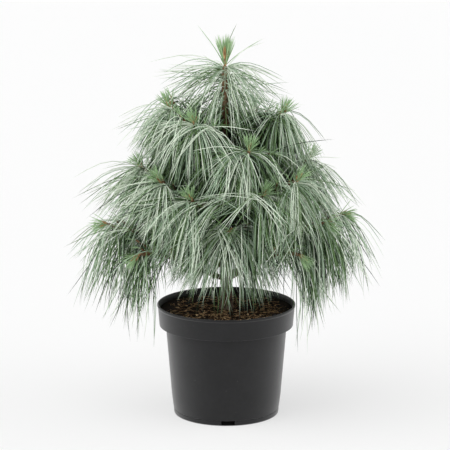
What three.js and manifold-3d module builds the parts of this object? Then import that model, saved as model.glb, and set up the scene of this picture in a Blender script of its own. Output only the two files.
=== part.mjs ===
// A weeping five-needle pine in a moulded nursery pot, in millimetres with +Z up.
// The origin is the centre of the pot's flat underside, which stands on the ground.
// +X is the viewer's right and -Y is the side that faces the viewer.

import * as THREE from "three";
import { mergeVertices } from "three/addons/utils/BufferGeometryUtils.js";
import Module from "manifold-3d";

const wasm = await Module();
wasm.setup();

// Pot: a five-litre container, 225 mm over its rim
const POT_HEIGHT = 182;
const RIM_RADIUS = 112.5;
const BASE_RADIUS = 85;
const BODY_TOP_RADIUS = 95.3;
const BAND_HEIGHT = 35;
const BAND_FOOT_RADIUS = 106.5;
const SHOULDER_HEIGHT = 14;
const LIP_HEIGHT = 5;
const LIP_OUT = 1.6;
const WALL = 2.5;
const EDGE_ROUND = 4;
const SOFT_EDGE = 2;
const POT_SIDES = 36;

// Drain slots cut through the bottom edge of the pot
const SLOT_COUNT = 3;
const SLOT_WIDTH = 22;
const SLOT_HEIGHT = 7;
const SLOT_DEPTH = 12;
const FIRST_SLOT_TURN = -88;

// Soil in the pot: flat where the trunk stands, a little raised round that and low at the wall
const SOIL_LEVEL = 173;
const SOIL_MOUND = 1.5;
const SOIL_DIP = 3;
const SOIL_FLAT_RADIUS = 17;
const SOIL_CREST_RADIUS = 38;
const SOIL_SHOULDER_RADIUS = 70;
const SOIL_WALL_GAP = 1;

// Clear gap between pieces that meet
const GAP = 0.3;

// Trunk, from its flat cut on the soil to the joint of the top whorl
const TRUNK_TOP = 470;
const TRUNK_FOOT_RADIUS = 8.4;
const TRUNK_TOP_RADIUS = 4.3;
const FLARE = 3.8;
const FLARE_FADE = 18;
const TRUNK_LEAN = -2;
const TRUNK_SWAY = 1.4;
const TRUNK_STEPS = 12;

// Leader: the shoot above the trunk, the candle of buds on it and two stray needles
const LEADER_TOP = 571;
const LEADER_BUD = 32;
const STRAY_RADIUS = 1.2;
const STRAYS = [
  { turn: 180, climb: 58, length: 80 },
  { turn: 0, climb: 40, length: 76 },
];

// Boughs leave the trunk in whorls. A whorl has the height of its lowest foot, the length and the
// hang of its needles, and the climb of its shoots where they end. Each bough has its turn about
// the trunk, its reach and the height of its tip.
const WHORLS = [
  {
    name: "top",
    foot: 424,
    needle: 118,
    hang: 3.8,
    climb: 62,
    boughs: [
      { side: "right", turn: 3, reach: 91, tip: 494 },
      { side: "back_right", turn: 62, reach: 88, tip: 486 },
      { side: "back_left", turn: 122, reach: 92, tip: 480 },
      { side: "left", turn: 180, reach: 91, tip: 504 },
      { side: "front_left", turn: 231, reach: 80, tip: 488 },
      { side: "front_right", turn: 292, reach: 95, tip: 450 },
    ],
  },
  {
    name: "middle",
    foot: 318,
    needle: 128,
    hang: 3.5,
    climb: 44,
    boughs: [
      { side: "right", turn: 18, reach: 138, tip: 413 },
      { side: "back_right", turn: 66, reach: 134, tip: 398 },
      { side: "back_left", turn: 118, reach: 138, tip: 404 },
      { side: "left", turn: 173, reach: 137, tip: 404 },
      { side: "left_front", turn: 216, reach: 128, tip: 398 },
      { side: "front", turn: 244, reach: 123, tip: 376 },
      { side: "front_right", turn: 300, reach: 116, tip: 382 },
      { side: "right_front", turn: 325, reach: 136, tip: 400 },
    ],
  },
  {
    name: "lower",
    foot: 258,
    needle: 134,
    hang: 4.6,
    climb: 22,
    boughs: [
      { side: "right", turn: 3, reach: 186, tip: 328 },
      { side: "back_right", turn: 56, reach: 176, tip: 322 },
      { side: "back_left", turn: 120, reach: 178, tip: 326 },
      { side: "left", turn: 186, reach: 192, tip: 318 },
      { side: "front", turn: 273, reach: 95, tip: 324 },
      { side: "right_front", turn: 342, reach: 166, tip: 326 },
    ],
  },
  {
    name: "lowest",
    foot: 222,
    needle: 134,
    hang: 5.2,
    climb: -6,
    boughs: [
      { side: "right", turn: 28, reach: 168, tip: 286 },
      { side: "back", turn: 88, reach: 166, tip: 284 },
      { side: "left", turn: 152, reach: 172, tip: 288 },
      { side: "left_front", turn: 216, reach: 171, tip: 285 },
      { side: "right_front", turn: 318, reach: 156, tip: 286 },
    ],
  },
];
const FOOT_STEP = 9;
const FOOT_CLIMB = 20;
const FOOT_PULL = 0.42;
const TIP_PULL = 0.3;
const BOUGH_TIP_RADIUS = 2.3;
const BOUGH_TAPER = 0.013;
const BOUGH_KEPT_FROM = 0.08;

// Shoots: the leafy end of a bough or of the trunk, with a bud, side twigs and sprays
const SHOOT_LENGTH = 78;
const SHOOT_SHARE = 0.52;
const BRUSH_SPLAY = 0.42;
const BRUSH_RADIUS = 2.2;
const BOUGH_SHOOT = { radii: [3.3, 2.8], bare: 0, bud: 17, brush: 36, sprays: 12, twigs: 2 };
const LEADER_SHOOT = {
  radii: [4.6, 3.4],
  bare: 0.12,
  bud: LEADER_BUD,
  brush: 50,
  sprays: 30,
  twigs: 0,
  needle: 124,
  hang: 4,
};
const FIRST_SEED = 18;
const SEED_STEP = 7;
const LEADER_SEED = 5;

// Side twigs: how far along the shoot they leave it, and their needles beside the shoot's own
const TWIG_RADIUS = 2.1;
const TWIG_SPLAY = 52;
const TWIG_LENGTH = 52;
const FIRST_TWIG = 0.14;
const TWIG_STEP = 0.22;
const TWIG_SPRAYS = 4;
const TWIG_LEAFY = [0.3, 0.9];
const TWIG_NEEDLE = 0.92;

// Sprays: each is a bundle of hanging needles that splits into three points
const SPRAY_RADII = [2.5, 4.2];
const SPRAY_JOINTS = [5, 13];
const ROOT_SINK = 0.9;
const POINT_SPREAD = 10;
const POINT_STEPS = 4;
const POINT_ROOM = [2.6, 1.5];
const BACK_LEAN = 84;
const TIP_LEAN = 52;
const GOLDEN_TURN = 137.508;
const FIRST_TWIST = 16;
const NEXT_TWIST = 70;
const HANG_STEPS = 25;
const CLEARANCE = 0.8;
const POT_CLEARANCE = 4;
const TRIES = 14;

// How much lengths and hang vary, as a share of the value
const BRUSH_VARIES = 0.15;
const TWIG_VARIES = 0.15;
const NEEDLE_VARIES = 0.11;
const POINT_VARIES = 0.3;
const HANG_VARIES = 0.4;

const UP = new THREE.Vector3(0, 0, 1);
const DOWN = new THREE.Vector3(0, 0, -1);
const { degToRad, lerp } = THREE.MathUtils;
const taper = ([foot, tip]) => (share) => lerp(foot, tip, share);
const vary = (value, share, random) => value * (1 + share * (2 * random() - 1));

const group = new THREE.Group();

// Materials
const finish = (color, roughness) => () =>
  new THREE.MeshStandardMaterial({ color, roughness, metalness: 0 });
const potPlastic = finish(0x37383a, 0.6);
const soilCrumb = finish(0x3a2a1e, 0.95);
const bark = finish(0x5a4030, 0.9);
const needleGreen = finish(0x7f9c8b, 0.6);

function addPiece(name, geometry, material) {
  const mesh = new THREE.Mesh(geometry, material());
  mesh.name = name;
  group.add(mesh);
}

// Solids: geometry to and from the library that joins and cuts
function solidFrom(geometry) {
  const bare = geometry.clone();
  bare.deleteAttribute("normal");
  bare.deleteAttribute("uv");
  const merged = mergeVertices(bare, 1e-4);
  return new wasm.Manifold(
    new wasm.Mesh({
      numProp: 3,
      vertProperties: new Float32Array(merged.attributes.position.array),
      triVerts: new Uint32Array(merged.index.array),
    }),
  );
}

function geometryFrom(solid) {
  const mesh = solid.getMesh();
  const geometry = new THREE.BufferGeometry();
  geometry.setAttribute("position", new THREE.BufferAttribute(mesh.vertProperties, 3));
  geometry.setIndex(new THREE.BufferAttribute(mesh.triVerts, 1));
  const flat = geometry.toNonIndexed();
  flat.computeVertexNormals();
  return flat;
}

// The one outer body of a joined solid: loose scraps go, and hollows that joining sealed are filled
function outerBody(solid) {
  const bodies = solid.decompose();
  bodies.sort((a, b) => b.volume() - a.volume());
  return bodies[0];
}

// Seeded numbers between 0 and 1
function seededNumbers(seed) {
  let state = seed;
  return () => {
    state = (state * 1664525 + 1013904223) % 4294967296;
    return state / 4294967296;
  };
}

// A direction from its turn about +Z and its climb above the horizontal, both in degrees
function heading(turn, climb) {
  const flat = Math.cos(degToRad(climb));
  return new THREE.Vector3(
    flat * Math.cos(degToRad(turn)),
    flat * Math.sin(degToRad(turn)),
    Math.sin(degToRad(climb)),
  );
}

// A level direction square to the given one
function levelAcross(direction) {
  const across = new THREE.Vector3().crossVectors(direction, UP);
  return across.lengthSq() < 1e-6 ? across.set(1, 0, 0) : across.normalize();
}

// Two directions square to a limb, which don't spin along it: an upright limb keeps to one side
function acrossLimb(curve, share) {
  const tangent = curve.getTangentAt(share);
  const upright = curve.getTangentAt(0.5).z > 0.9;
  const guide = upright ? new THREE.Vector3(0, 1, 0) : UP;
  const across = new THREE.Vector3().crossVectors(tangent, guide).normalize();
  const over = new THREE.Vector3().crossVectors(across, tangent);
  return { tangent, across, over };
}

// A tapering limb: a closed cylinder bent onto a stretch of a curve
function limb(curve, from, to, radiusAt, sides, rings) {
  const geometry = new THREE.CylinderGeometry(1, 1, 1, sides, rings);
  const position = geometry.attributes.position;
  for (let i = 0; i < position.count; i += 1) {
    const along = position.getY(i) + 0.5;
    const share = lerp(from, to, along);
    const { across, over } = acrossLimb(curve, share);
    const radius = radiusAt(along);
    const point = curve.getPointAt(share);
    point.addScaledVector(across, position.getX(i) * radius);
    point.addScaledVector(over, position.getZ(i) * radius);
    position.setXYZ(i, point.x, point.y, point.z);
  }
  return geometry;
}

// A three-sided or many-sided spike from its root towards a direction
function spike(root, direction, length, radius, sides) {
  const geometry = new THREE.ConeGeometry(radius, length, sides);
  geometry.translate(0, length / 2, 0);
  geometry.applyQuaternion(
    new THREE.Quaternion().setFromUnitVectors(new THREE.Vector3(0, 1, 0), direction),
  );
  geometry.translate(root.x, root.y, root.z);
  return geometry;
}

// Pot: a thin wall turned round the axis, with a stepped band under its rim
const BAND_FOOT = POT_HEIGHT - BAND_HEIGHT;

function potOutline() {
  const outline = new THREE.Path();
  outline.moveTo(0, 0);
  outline.lineTo(BASE_RADIUS - EDGE_ROUND, 0);
  outline.quadraticCurveTo(BASE_RADIUS, 0, BASE_RADIUS, EDGE_ROUND);
  outline.lineTo(BODY_TOP_RADIUS, BAND_FOOT - SHOULDER_HEIGHT);
  outline.quadraticCurveTo(BODY_TOP_RADIUS, BAND_FOOT, BAND_FOOT_RADIUS - EDGE_ROUND, BAND_FOOT);
  outline.quadraticCurveTo(BAND_FOOT_RADIUS, BAND_FOOT, BAND_FOOT_RADIUS, BAND_FOOT + SOFT_EDGE);
  outline.lineTo(RIM_RADIUS - LIP_OUT, POT_HEIGHT - LIP_HEIGHT);
  outline.lineTo(RIM_RADIUS, POT_HEIGHT - LIP_HEIGHT + SOFT_EDGE);
  outline.quadraticCurveTo(RIM_RADIUS, POT_HEIGHT, RIM_RADIUS - SOFT_EDGE, POT_HEIGHT);
  outline.lineTo(RIM_RADIUS - WALL - 1, POT_HEIGHT - 1);
  outline.lineTo(BAND_FOOT_RADIUS - WALL, BAND_FOOT + SOFT_EDGE);
  outline.lineTo(BODY_TOP_RADIUS - WALL, BAND_FOOT - SHOULDER_HEIGHT / 2);
  outline.lineTo(BASE_RADIUS - WALL, WALL + EDGE_ROUND);
  outline.lineTo(BASE_RADIUS - WALL - EDGE_ROUND, WALL);
  outline.lineTo(0, WALL);
  return outline.getPoints(2);
}

function turned(points, sides) {
  return new THREE.LatheGeometry(points, sides).rotateX(Math.PI / 2);
}

function slotCutter(turn) {
  const reach = SLOT_DEPTH + 10;
  const cutter = new THREE.BoxGeometry(reach, SLOT_WIDTH, 2 * SLOT_HEIGHT);
  cutter.translate(BASE_RADIUS - SLOT_DEPTH + reach / 2, 0, 0);
  return cutter.rotateZ(degToRad(turn));
}

let potSolid = solidFrom(turned(potOutline(), POT_SIDES));
for (let i = 0; i < SLOT_COUNT; i += 1) {
  const cutter = slotCutter(FIRST_SLOT_TURN + (360 * i) / SLOT_COUNT);
  potSolid = potSolid.subtract(solidFrom(cutter));
}
addPiece("pot", geometryFrom(potSolid), potPlastic);

// Soil: fills the pot to just under the rim
const soilOutline = [
  [0, WALL + GAP],
  [BASE_RADIUS - WALL - EDGE_ROUND - SOIL_WALL_GAP, WALL + GAP],
  [BASE_RADIUS - WALL - SOIL_WALL_GAP, WALL + EDGE_ROUND],
  [BODY_TOP_RADIUS - WALL - SOIL_WALL_GAP, BAND_FOOT - SHOULDER_HEIGHT / 2],
  [BAND_FOOT_RADIUS - WALL - SOIL_WALL_GAP, BAND_FOOT + SOFT_EDGE],
  [BAND_FOOT_RADIUS - WALL + SOIL_WALL_GAP, SOIL_LEVEL - SOIL_DIP],
  [SOIL_SHOULDER_RADIUS, SOIL_LEVEL + SOIL_MOUND / 2],
  [SOIL_CREST_RADIUS, SOIL_LEVEL + SOIL_MOUND],
  [SOIL_FLAT_RADIUS, SOIL_LEVEL],
  [0, SOIL_LEVEL],
].map(([radius, height]) => new THREE.Vector2(radius, height));
addPiece("soil", turned(soilOutline, POT_SIDES / 2), soilCrumb);

// Trunk: a slight lean and sway, and a flare at its foot
const trunkPoints = [];
for (let i = 0; i <= TRUNK_STEPS; i += 1) {
  const share = i / TRUNK_STEPS;
  const sway = TRUNK_SWAY * Math.sin(3 * Math.PI * share);
  const x = TRUNK_LEAN * share + sway;
  const y = 0.6 * sway;
  trunkPoints.push(new THREE.Vector3(x, y, lerp(SOIL_LEVEL + GAP, TRUNK_TOP, share)));
}
const trunkCurve = new THREE.CatmullRomCurve3(trunkPoints);

const trunkRadius = (share) =>
  lerp(TRUNK_FOOT_RADIUS, TRUNK_TOP_RADIUS, share) + FLARE * Math.exp(-FLARE_FADE * share);

// The foot is cut level, whatever the lean of the trunk's first stretch
function levelFoot(geometry, height) {
  const position = geometry.attributes.position;
  for (let i = 0; i < position.count; i += 1) {
    if (Math.abs(position.getZ(i) - height) < 1) {
      position.setZ(i, height);
    }
  }
  return geometry;
}

const trunkGeometry = limb(trunkCurve, 0, 1, trunkRadius, 8, TRUNK_STEPS);
addPiece("trunk", levelFoot(trunkGeometry, SOIL_LEVEL + GAP), bark);
const keepOutRadius = (share) => trunkRadius(share) + GAP;
const trunkKeepOut = solidFrom(limb(trunkCurve, 0, 1, keepOutRadius, 8, TRUNK_STEPS));

const trunkAt = (height) => {
  const share = (height - SOIL_LEVEL) / (TRUNK_TOP - SOIL_LEVEL);
  return trunkCurve.getPointAt(Math.min(share, 1));
};

// Everything that foliage keeps clear of, as straight stretches with a radius and an owner
const kept = [];

function keep(owner, start, end, radius) {
  kept.push({ owner, line: new THREE.Line3(start.clone(), end.clone()), radius });
}

function keepLimb(owner, curve, from, to, radiusAt, steps) {
  for (let i = 0; i < steps; i += 1) {
    const start = curve.getPointAt(lerp(from, to, i / steps));
    const end = curve.getPointAt(lerp(from, to, (i + 1) / steps));
    keep(owner, start, end, radiusAt(i / steps));
  }
}

keepLimb("trunk", trunkCurve, 0, 1, trunkRadius, TRUNK_STEPS);

// A line is clear where it stays off the pot and soil, and off what other owners keep
function clearOfPot(point) {
  const out = Math.hypot(point.x, point.y);
  if (point.z > POT_HEIGHT + POT_CLEARANCE || out > RIM_RADIUS + POT_CLEARANCE) {
    return true;
  }
  const overSoil = point.z > SOIL_LEVEL + SOIL_MOUND + POT_CLEARANCE;
  return overSoil && out < BAND_FOOT_RADIUS - POT_CLEARANCE;
}

function isClear(owner, stretches) {
  for (const stretch of stretches) {
    const middle = stretch.line.getCenter(new THREE.Vector3());
    if (![stretch.line.start, middle, stretch.line.end].every(clearOfPot)) {
      return false;
    }
    for (const other of kept) {
      const fellow = other.owner === owner;
      if (fellow && !(stretch.loose && other.loose)) {
        continue;
      }
      const room = stretch.radius + other.radius + (fellow ? 0 : CLEARANCE);
      if (stretch.line.distanceSqToLine3(other.line) <= room * room) {
        return false;
      }
    }
  }
  return true;
}

// A hanging line: it leaves its twig stiffly and bends under its own weight, most near its root
function hangingLine(root, direction, length, hang) {
  const line = [root.clone()];
  const way = direction.clone();
  for (let i = 0; i < HANG_STEPS; i += 1) {
    const left = 1 - (i + 0.5) / HANG_STEPS;
    const fall = DOWN.clone().addScaledVector(way, -DOWN.dot(way));
    way.addScaledVector(fall, (hang * left * left) / HANG_STEPS).normalize();
    line.push(line[i].clone().addScaledVector(way, length / HANG_STEPS));
  }
  return line;
}

// A spray of needles: a slim three-sided core on a hanging line that splits into three points.
// It starts as a point sunk in its twig.
function sprayFrom(root, direction, length, hang, random) {
  const line = hangingLine(root, direction, length, hang);
  const sunk = root.clone().addScaledVector(direction, -ROOT_SINK);
  const across = levelAcross(direction);
  const corners = SPRAY_JOINTS.map((joint, i) => {
    const tangent = line[joint + 1].clone().sub(line[Math.max(joint - 1, 0)]).normalize();
    const over = new THREE.Vector3().crossVectors(tangent, across);
    return [90, 210, 330].map((angle) =>
      line[joint]
        .clone()
        .addScaledVector(across, SPRAY_RADII[i] * Math.cos(degToRad(angle)))
        .addScaledVector(over, SPRAY_RADII[i] * Math.sin(degToRad(angle))),
    );
  });
  const split = line[SPRAY_JOINTS[1]];
  const lastCorners = corners[1];
  const points = lastCorners.map((corner, i) => {
    const edge = corner.clone().add(lastCorners[(i + 1) % 3]).multiplyScalar(0.5);
    const outward = edge.clone().sub(split).normalize();
    const end = line[HANG_STEPS - Math.floor(POINT_STEPS * random())];
    const spread = vary(POINT_SPREAD, POINT_VARIES, random);
    return { edge, tip: end.clone().addScaledVector(outward, spread) };
  });
  return { line, sunk, corners, split, points };
}

// The straight stretches that stand for a spray where it is tried against its neighbours. The
// loose ones lie beyond its root, where it keeps off the other sprays of its own mass too.
function sprayStretches(spray) {
  const [root, knee, split] = [1, ...SPRAY_JOINTS].map((joint) => spray.line[joint]);
  const halfway = knee.clone().lerp(split, 0.5);
  const stretches = [
    { line: new THREE.Line3(root, knee), radius: SPRAY_RADII[0], loose: false },
    { line: new THREE.Line3(knee, halfway), radius: SPRAY_RADII[1], loose: false },
    { line: new THREE.Line3(halfway, split), radius: SPRAY_RADII[1], loose: true },
  ];
  for (const { edge, tip } of spray.points) {
    const middle = edge.clone().lerp(tip, 0.5);
    stretches.push({ line: new THREE.Line3(edge, middle), radius: POINT_ROOM[0], loose: true });
    stretches.push({ line: new THREE.Line3(middle, tip), radius: POINT_ROOM[1], loose: true });
  }
  return stretches;
}

function closedSolid(vertices, faces) {
  const geometry = new THREE.BufferGeometry().setFromPoints(vertices);
  geometry.setIndex(faces.flat());
  return geometry;
}

function sprayGeometry(spray) {
  const tips = spray.points.map((point) => point.tip);
  const vertices = [...spray.corners.flat(), spray.split, ...tips, spray.sunk];
  const [split, firstTip, sunk] = [6, 7, 10];
  const faces = [];
  for (let i = 0; i < 3; i += 1) {
    const next = (i + 1) % 3;
    faces.push([sunk, next, i]);
    faces.push([i, next, 3 + next], [i, 3 + next, 3 + i]);
    faces.push([3 + i, 3 + next, firstTip + i]);
    faces.push([3 + next, split, firstTip + i], [split, 3 + i, firstTip + i]);
  }
  return closedSolid(vertices, faces);
}

// The places where sprays leave a twig: the golden angle turns each one on from the last, and
// they lean forward more towards the tip
function spraySites(curve, from, count, length, hang) {
  const sites = [];
  for (let i = 0; i < count; i += 1) {
    const share = 1 - ((i + 0.3) / count) * (1 - from);
    const along = (share - from) / (1 - from);
    sites.push({ curve, share, order: i, lean: lerp(BACK_LEAN, TIP_LEAN, along), length, hang });
  }
  return sites;
}

function directionAt(site, twist) {
  const { tangent, across, over } = acrossLimb(site.curve, site.share);
  const turn = degToRad(site.order * GOLDEN_TURN + twist);
  const lean = degToRad(site.lean);
  return tangent
    .multiplyScalar(Math.cos(lean))
    .addScaledVector(across, Math.sin(lean) * Math.cos(turn))
    .addScaledVector(over, Math.sin(lean) * Math.sin(turn));
}

// A shoot's four-sided stem and its bud, with a short upright needle standing out of each side
function stemGeometry(curve, from, size, random) {
  const radiusAt = taper(size.radii);
  const corners = [0, 0.5, 1].flatMap((along) => {
    const share = lerp(from, 1, along);
    const { across, over } = acrossLimb(curve, share);
    return [0, 90, 180, 270].map((angle) =>
      curve
        .getPointAt(share)
        .addScaledVector(across, radiusAt(along) * Math.cos(degToRad(angle)))
        .addScaledVector(over, radiusAt(along) * Math.sin(degToRad(angle))),
    );
  });
  const tip = curve.getPointAt(1);
  const tangent = curve.getTangentAt(1);
  const bud = tip.clone().addScaledVector(tangent, size.bud);
  const [budIndex, firstNeedle] = [corners.length, corners.length + 1];
  const needles = [];
  const faces = [[0, 1, 2], [0, 2, 3]];
  for (let i = 0; i < 4; i += 1) {
    const next = (i + 1) % 4;
    for (let low = 0; low < 8; low += 4) {
      const high = low + 4;
      faces.push([low + i, high + next, low + next], [low + i, high + i, high + next]);
    }
    const [left, right] = [corners[8 + i], corners[8 + next]];
    const out = left.clone().add(right).multiplyScalar(0.5).sub(tip).normalize();
    const upper = left.clone().add(right).add(bud).multiplyScalar(1 / 3);
    const length = vary(size.brush, BRUSH_VARIES, random);
    const way = tangent.clone().addScaledVector(out, BRUSH_SPLAY).normalize();
    needles.push([upper, upper.clone().addScaledVector(way, length)]);
    const [base, point] = [firstNeedle + 2 * i, firstNeedle + 2 * i + 1];
    faces.push([budIndex, base, 8 + i], [budIndex, 8 + next, base]);
    faces.push([8 + i, point, 8 + next], [8 + next, point, base], [base, point, 8 + i]);
  }
  return { geometry: closedSolid([...corners, bud, ...needles.flat()], faces), needles };
}

// A side twig, where it is clear of its neighbours: the first turns left and the second right
function addTwig(shoot, curve, from, index, size) {
  const start = lerp(from, 1, FIRST_TWIG + TWIG_STEP * index);
  const foot = curve.getPointAt(start);
  const splay = degToRad(index % 2 ? -TWIG_SPLAY : TWIG_SPLAY);
  const side = curve.getTangentAt(start).applyAxisAngle(UP, splay);
  const reach = vary(TWIG_LENGTH, TWIG_VARIES, shoot.random);
  const end = foot.clone().addScaledVector(side, reach);
  const outer = foot.clone().lerp(end, TWIG_LEAFY[0]);
  if (isClear(shoot.name, [{ line: new THREE.Line3(outer, end), radius: TWIG_RADIUS }])) {
    shoot.pieces.push(spike(foot, side, reach, TWIG_RADIUS, 3));
    keep(shoot.name, foot, end, TWIG_RADIUS);
    const twig = new THREE.LineCurve3(foot, foot.clone().lerp(end, TWIG_LEAFY[1]));
    const needle = TWIG_NEEDLE * size.needle;
    shoot.sites.push(...spraySites(twig, TWIG_LEAFY[0], TWIG_SPRAYS, needle, size.hang));
  }
}

// A shoot: the leafy end of a limb
function startShoot(name, curve, from, size, seed) {
  const random = seededNumbers(seed);
  const { geometry, needles } = stemGeometry(curve, from, size, random);
  const leafy = lerp(from, 1, size.bare);
  const sites = spraySites(curve, leafy, size.sprays, size.needle, size.hang);
  const shoot = { name, random, pieces: [geometry], sites };
  keepLimb(name, curve, from, 1, taper(size.radii), 4);
  needles.forEach(([base, point]) => keep(name, base, point, BRUSH_RADIUS));
  for (let i = 0; i < size.twigs; i += 1) {
    addTwig(shoot, curve, from, i, size);
  }
  return shoot;
}

// A spray that would touch something is turned a little and tried again, and then left out
function growSpray(shoot, site) {
  for (let attempt = 0; attempt < TRIES; attempt += 1) {
    const twist = (attempt === 0 ? FIRST_TWIST : NEXT_TWIST) * (shoot.random() - 0.5);
    const length = vary(site.length, NEEDLE_VARIES, shoot.random);
    const hang = vary(site.hang, HANG_VARIES, shoot.random);
    const root = site.curve.getPointAt(site.share);
    const spray = sprayFrom(root, directionAt(site, twist), length, hang, shoot.random);
    const stretches = sprayStretches(spray);
    if (isClear(shoot.name, stretches)) {
      shoot.pieces.push(sprayGeometry(spray));
      stretches.forEach((stretch) => kept.push({ owner: shoot.name, ...stretch }));
      return;
    }
  }
}

// Boughs: one tapering limb each, from the trunk to where its needles start
function boughCurve(whorl, bough, index) {
  const foot = trunkAt(whorl.foot + FOOT_STEP * (index % 3));
  const tip = heading(bough.turn, 0).multiplyScalar(bough.reach).setZ(bough.tip);
  const out = heading(bough.turn, FOOT_CLIMB);
  const up = heading(bough.turn, whorl.climb);
  const first = foot.clone().addScaledVector(out, FOOT_PULL * bough.reach);
  const last = tip.clone().addScaledVector(up, -TIP_PULL * bough.reach);
  return new THREE.CubicBezierCurve3(foot, first, last, tip);
}

const shoots = [];
for (const whorl of WHORLS) {
  whorl.boughs.forEach((bough, index) => {
    const curve = boughCurve(whorl, bough, index);
    const length = curve.getLength();
    const boughEnd = 1 - Math.min(SHOOT_LENGTH / length, SHOOT_SHARE);
    const boughName = `${whorl.name}_bough_${bough.side}`;
    const radiusAt = taper([BOUGH_TIP_RADIUS + BOUGH_TAPER * bough.reach, BOUGH_TIP_RADIUS]);
    const whole = solidFrom(limb(curve, 0, boughEnd, radiusAt, 5, 3));
    addPiece(boughName, geometryFrom(outerBody(whole.subtract(trunkKeepOut))), bark);
    keepLimb(boughName, curve, BOUGH_KEPT_FROM, boughEnd, radiusAt, 5);

    const size = { ...BOUGH_SHOOT, needle: whorl.needle, hang: whorl.hang };
    const seed = FIRST_SEED + SEED_STEP * shoots.length;
    const name = `${whorl.name}_needles_${bough.side}`;
    shoots.push(startShoot(name, curve, boughEnd + GAP / length, size, seed));
  });
}

// Leader: it stands on the trunk's tip, with no side twigs
const leaderFoot = trunkCurve.getPointAt(1).addScaledVector(UP, GAP);
const leaderCurve = new THREE.LineCurve3(leaderFoot, leaderFoot.clone().setZ(LEADER_TOP));
const leader = startShoot("leader_needles", leaderCurve, 0, LEADER_SHOOT, LEADER_SEED);
for (const stray of STRAYS) {
  const direction = heading(stray.turn, stray.climb);
  leader.pieces.push(spike(leaderCurve.getPointAt(1), direction, stray.length, STRAY_RADIUS, 3));
}
shoots.push(leader);

// The shoots take turns to grow their sprays, so that no mass crowds its neighbours
const mostSites = Math.max(...shoots.map((shoot) => shoot.sites.length));
for (let turn = 0; turn < mostSites; turn += 1) {
  for (const shoot of shoots) {
    if (turn < shoot.sites.length) {
      growSpray(shoot, shoot.sites[turn]);
    }
  }
}

for (const shoot of shoots) {
  const joined = wasm.Manifold.union(shoot.pieces.map(solidFrom));
  addPiece(shoot.name, geometryFrom(outerBody(joined)), needleGreen);
}

export default group;
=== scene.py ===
import math

import bpy
import numpy as np
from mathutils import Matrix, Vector, kdtree, noise


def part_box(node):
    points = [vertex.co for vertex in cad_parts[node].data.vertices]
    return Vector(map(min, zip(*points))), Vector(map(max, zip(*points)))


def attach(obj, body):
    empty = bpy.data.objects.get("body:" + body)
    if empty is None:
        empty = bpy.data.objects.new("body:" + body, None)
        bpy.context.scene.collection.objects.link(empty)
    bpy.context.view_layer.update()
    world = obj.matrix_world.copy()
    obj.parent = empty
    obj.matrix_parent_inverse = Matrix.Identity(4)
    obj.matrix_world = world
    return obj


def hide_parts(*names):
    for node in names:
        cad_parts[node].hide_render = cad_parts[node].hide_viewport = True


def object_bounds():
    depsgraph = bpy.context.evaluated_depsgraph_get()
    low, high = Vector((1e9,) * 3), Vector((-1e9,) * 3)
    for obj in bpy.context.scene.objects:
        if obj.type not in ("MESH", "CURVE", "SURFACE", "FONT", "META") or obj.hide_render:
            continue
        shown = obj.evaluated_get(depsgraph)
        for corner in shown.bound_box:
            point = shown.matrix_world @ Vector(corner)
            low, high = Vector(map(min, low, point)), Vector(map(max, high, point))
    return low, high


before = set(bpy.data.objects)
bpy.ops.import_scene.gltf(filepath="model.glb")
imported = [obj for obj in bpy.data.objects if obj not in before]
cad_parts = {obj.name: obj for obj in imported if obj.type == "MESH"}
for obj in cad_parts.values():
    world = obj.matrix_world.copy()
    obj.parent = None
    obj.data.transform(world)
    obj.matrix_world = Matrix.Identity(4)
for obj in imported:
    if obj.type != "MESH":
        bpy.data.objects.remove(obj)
cad_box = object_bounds()

# View
# A long studio lens looks a little down on the pot from well back, so the rim shows as a narrow
# ellipse and the crown fills most of a square picture.
VIEW_DISTANCE = 3.5
VIEW_CLIMB = math.radians(12.2)
VIEW_AIM = Vector((-0.0021, 0, 0.312))
VIEW_LENS = 173.4


def in_scene(name, data):
    """A new object in the scene, with its mesh, lamp or camera data."""
    made = bpy.data.objects.new(name, data)
    bpy.context.scene.collection.objects.link(made)
    return made


camera_data = bpy.data.cameras.new("studio_camera")
camera_data.lens = VIEW_LENS
camera = in_scene("studio_camera", camera_data)
view_back = Vector((0, -math.cos(VIEW_CLIMB), math.sin(VIEW_CLIMB)))
camera.location = VIEW_AIM + VIEW_DISTANCE * view_back
camera.rotation_euler = (math.pi / 2 - VIEW_CLIMB, 0, 0)
bpy.context.scene.camera = camera
bpy.context.scene.view_settings.view_transform = "Standard"

# Light
# A white tent all round, brightest low down where the floor meets it, a broad soft light high on
# the left and a tall soft box at each side. They leave only a faint shadow to the pot's right.
TENT_COLOUR = (1, 1, 1)
TENT_STRENGTH = 0.42
TENT_FOOT_STRENGTH = 1.02
TENT_FOOT_TOP = (0.15, 0.08)
SOFT_LIGHTS = [
    {"name": "key_light", "strength": 1.1, "spread": 70, "from": (-0.35, -0.45, 1)},
    {"name": "left_box", "strength": 2.2, "spread": 80, "from": (-1, -0.14, 0.3)},
    {"name": "right_box", "strength": 1.7, "spread": 80, "from": (1, -0.1, 0.3)},
]


class Value:
    """A number that varies over a surface. Python's operators on it add Math nodes."""

    def __init__(self, tree, socket):
        self.tree = tree
        self.socket = socket

    def math(self, operation, *numbers):
        return self.tree.node("ShaderNodeMath", numbers, operation=operation)

    def __add__(self, other):
        return self.math("ADD", self, other)

    def __rsub__(self, other):
        return self.math("SUBTRACT", other, self)

    def __mul__(self, other):
        return self.math("MULTIPLY", self, other)

    __radd__ = __add__
    __rmul__ = __mul__

    def rises(self, low, high):
        """0 below low and 1 above high, smooth between them; it falls where high is the lower."""
        inputs = {"Value": self, "From Min": low, "From Max": high}
        return self.tree.node("ShaderNodeMapRange", inputs, interpolation_type="SMOOTHSTEP")


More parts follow.
